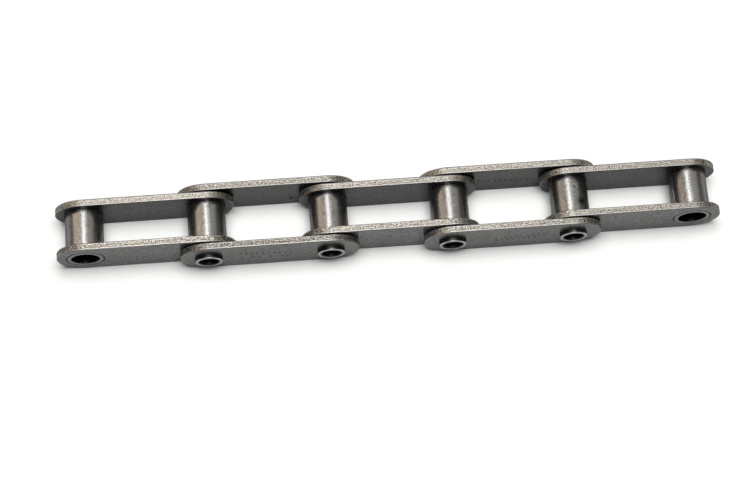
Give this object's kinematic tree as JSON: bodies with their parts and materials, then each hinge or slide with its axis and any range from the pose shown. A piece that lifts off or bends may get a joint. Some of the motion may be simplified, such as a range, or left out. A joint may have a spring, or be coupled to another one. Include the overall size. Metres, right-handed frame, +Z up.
{
  "type": "hollow pin chain",
  "caption": "Straight strand of hollow pin bush chain: inner links with curled bushes, joined by outer links with open pins; every pin joint turns.",
  "frame": {"origin": "on the surface that the plates' lower edges stand on, midway along and across the strand", "axes": "+X along the strand, +Y across it and parallel to the pins (the rear plates are on the +Y side), +Z up"},
  "size_m": [0.1388, 0.0162, 0.0118],
  "materials": {
    "plate_steel": "dark tumbled steel, brighter on the cut edges",
    "bush_steel": "dark gunmetal steel, satin",
    "pin_steel": "steel, dark barrel with bright rims"
  },
  "bodies": {
    "inner_link_1": {"inner_link_1_front_plate": "plate_steel", "inner_link_1_rear_plate": "plate_steel", "inner_link_1_left_bush": "bush_steel", "inner_link_1_right_bush": "bush_steel"},
    "outer_link_1": {"outer_link_1_front_plate": "plate_steel", "outer_link_1_rear_plate": "plate_steel", "outer_link_1_left_pin": "pin_steel", "outer_link_1_right_pin": "pin_steel"},
    "inner_link_2": {"inner_link_2_front_plate": "plate_steel", "inner_link_2_rear_plate": "plate_steel", "inner_link_2_left_bush": "bush_steel", "inner_link_2_right_bush": "bush_steel"},
    "outer_link_2": {"outer_link_2_front_plate": "plate_steel", "outer_link_2_rear_plate": "plate_steel", "outer_link_2_left_pin": "pin_steel", "outer_link_2_right_pin": "pin_steel"},
    "inner_link_3": {"inner_link_3_front_plate": "plate_steel", "inner_link_3_rear_plate": "plate_steel", "inner_link_3_left_bush": "bush_steel", "inner_link_3_right_bush": "bush_steel"}
  },
  "joints": [
    {"name": "pin_2_hinge", "type": "hinge", "parent": "inner_link_2", "child": "outer_link_1", "pos_m": [-0.0127, 0, 0.0059], "axis": [0, 1, 0], "range_deg": [-65, 65]},
    {"name": "pin_1_hinge", "type": "hinge", "parent": "outer_link_1", "child": "inner_link_1", "pos_m": [-0.0381, 0, 0.0059], "axis": [0, 1, 0], "range_deg": [-65, 65]},
    {"name": "pin_3_hinge", "type": "hinge", "parent": "inner_link_2", "child": "outer_link_2", "pos_m": [0.0127, 0, 0.0059], "axis": [0, -1, 0], "range_deg": [-65, 65]},
    {"name": "pin_4_hinge", "type": "hinge", "parent": "outer_link_2", "child": "inner_link_3", "pos_m": [0.0381, 0, 0.0059], "axis": [0, -1, 0], "range_deg": [-65, 65]}
  ]
}
